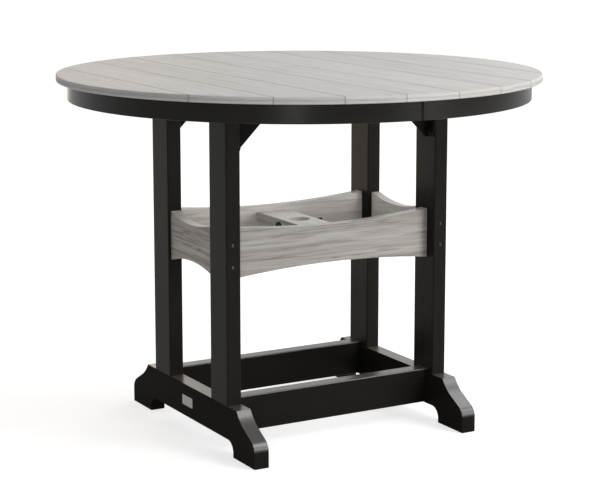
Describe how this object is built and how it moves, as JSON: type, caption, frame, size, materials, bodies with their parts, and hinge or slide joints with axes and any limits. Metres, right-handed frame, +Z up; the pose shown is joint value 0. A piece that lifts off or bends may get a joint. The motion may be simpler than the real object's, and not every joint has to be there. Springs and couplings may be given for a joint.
{
  "type": "counter height table",
  "caption": "Round counter height patio table with a slatted top, arched middle rails, a pole clamp board and shaped feet.",
  "frame": {"origin": "on the floor, under the middle of the round top", "axes": "+Z up, +X along the long rails, +Y from the front to the back, along the feet"},
  "size_m": [1.2192, 1.2192, 0.9],
  "materials": {
    "grey_boards": "weathered grey plastic lumber, embossed wood grain, matte",
    "grey_plug": "moulded grey plastic, matte",
    "black_boards": "black plastic lumber, satin with a faint grain",
    "black_steel": "black powder coat, fine texture",
    "black_knobs": "moulded black plastic, satin",
    "stainless_fixings": "stainless steel, satin",
    "coated_screws": "steel with a dark grey coating, satin",
    "bare_plate": "plain brushed aluminium, no lettering"
  },
  "bodies": {
    "table": {"top_slat_1": "grey_boards", "top_slat_2": "grey_boards", "top_slat_3": "grey_boards", "top_slat_4": "grey_boards", "top_slat_5": "grey_boards", "top_slat_6": "grey_boards", "top_slat_7": "grey_boards", "top_slat_8": "grey_boards", "top_slat_9": "grey_boards", "apron_left": "black_boards", "apron_right": "black_boards", "batten_front": "black_boards", "batten_back": "black_boards", "post_front_left": "black_boards", "post_front_right": "black_boards", "post_back_left": "black_boards", "post_back_right": "black_boards", "foot_left": "black_boards", "foot_right": "black_boards", "lower_rail_front": "black_boards", "lower_rail_back": "black_boards", "long_rail_front": "grey_boards", "long_rail_back": "grey_boards", "end_rail_left": "grey_boards", "end_rail_right": "grey_boards", "pole_board": "grey_boards", "clamp_inserts": "stainless_fixings", "top_brackets": "black_steel", "bracket_screws": "coated_screws", "slat_screws": "coated_screws", "apron_screws": "coated_screws", "end_rail_screws": "coated_screws", "long_rail_screws": "coated_screws", "lower_rail_screws": "coated_screws", "board_screws": "coated_screws", "foot_lag_screws": "coated_screws", "plain_plate": "bare_plate"},
    "plug": {"pole_plug": "grey_plug"},
    "clamp_left": {"clamp_knob_left": "black_knobs", "clamp_stud_left": "stainless_fixings"},
    "clamp_right": {"clamp_knob_right": "black_knobs", "clamp_stud_right": "stainless_fixings"}
  },
  "joints": [
    {"name": "plug_lift", "type": "slide", "parent": "table", "child": "plug", "axis": [0, 0, 1], "range_m": [0, 0.06]},
    {"name": "clamp_left_travel", "type": "slide", "parent": "table", "child": "clamp_left", "axis": [1, 0, 0], "range_m": [-0.012, 0.01]},
    {"name": "clamp_right_travel", "type": "slide", "parent": "table", "child": "clamp_right", "axis": [-1, 0, 0], "range_m": [-0.012, 0.01]}
  ]
}
